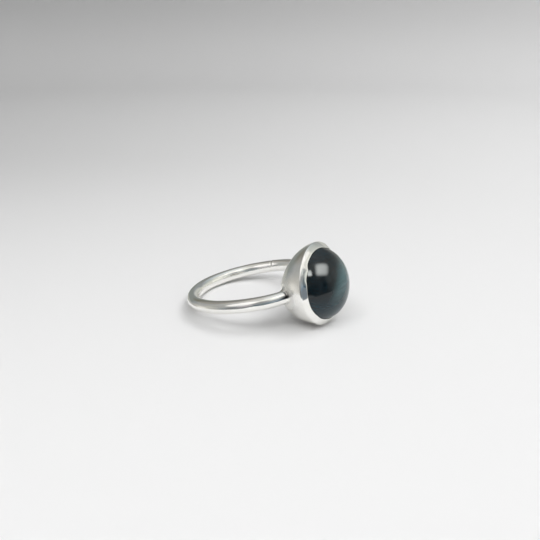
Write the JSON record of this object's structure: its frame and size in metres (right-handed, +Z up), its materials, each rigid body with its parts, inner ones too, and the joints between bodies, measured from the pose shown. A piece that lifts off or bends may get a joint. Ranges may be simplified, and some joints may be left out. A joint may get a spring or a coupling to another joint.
{
  "type": "tiger eye ring",
  "caption": "Silver ring with a round wire shank and a round-backed cup that holds a high polished tiger eye cabochon.",
  "frame": {"origin": "under the middle of the bounding box, on the surface that the ring lies on", "axes": "+X from the far end of the shank to the stone, +Y across the shank, +Z up; the finger's axis leans 12.9 degrees from +Z, away from the stone"},
  "size_m": [0.028, 0.0232, 0.0129],
  "materials": {
    "silver": "polished",
    "tiger_eye": "polished"
  },
  "bodies": {
    "root": {"silver_setting": "silver", "cabochon": "tiger_eye"}
  },
  "joints": []
}
